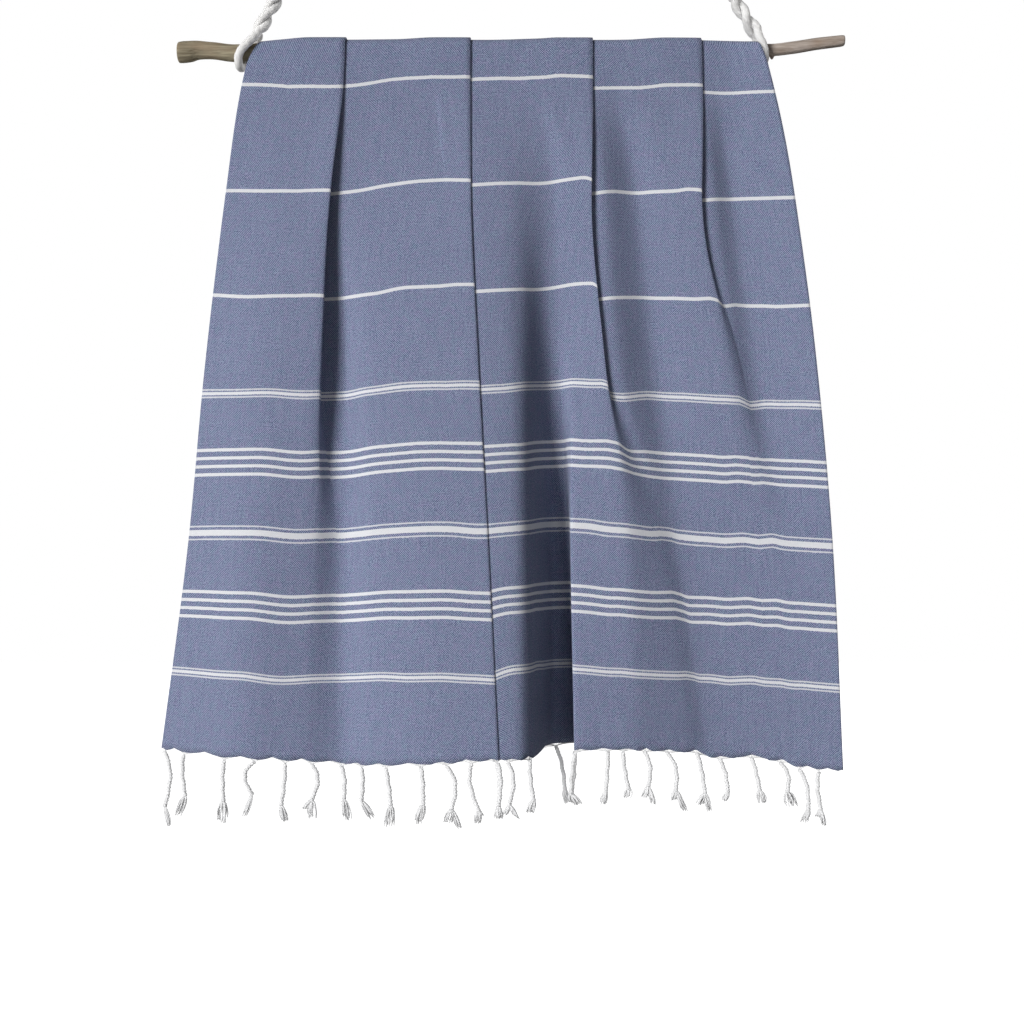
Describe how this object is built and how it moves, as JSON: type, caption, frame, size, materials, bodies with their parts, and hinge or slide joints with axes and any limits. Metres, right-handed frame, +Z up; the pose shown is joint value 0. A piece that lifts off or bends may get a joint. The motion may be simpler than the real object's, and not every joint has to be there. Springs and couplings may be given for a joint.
{
  "type": "hammam towel on a hanging driftwood stick",
  "caption": "Flat-woven fringed hammam towel folded in knife pleats over a driftwood stick that hangs from two twisted cotton cords",
  "frame": {"origin": "halfway between the centres of the two eyes that the cords hang from", "axes": "+X to the viewer's right along the stick, +Y from the towel's front to its back, +Z up"},
  "size_m": [0.8595, 0.1392, 1.1105],
  "materials": {
    "towel_cloth": "matte",
    "fringe": "matte",
    "driftwood": "matte",
    "cotton_cord": "matte"
  },
  "bodies": {
    "root": {"towel_cloth": "towel_cloth", "fringe_front": "fringe", "fringe_back": "fringe", "stick": "driftwood", "rope_left": "cotton_cord", "rope_right": "cotton_cord", "knot_left": "cotton_cord", "knot_right": "cotton_cord"}
  },
  "joints": []
}
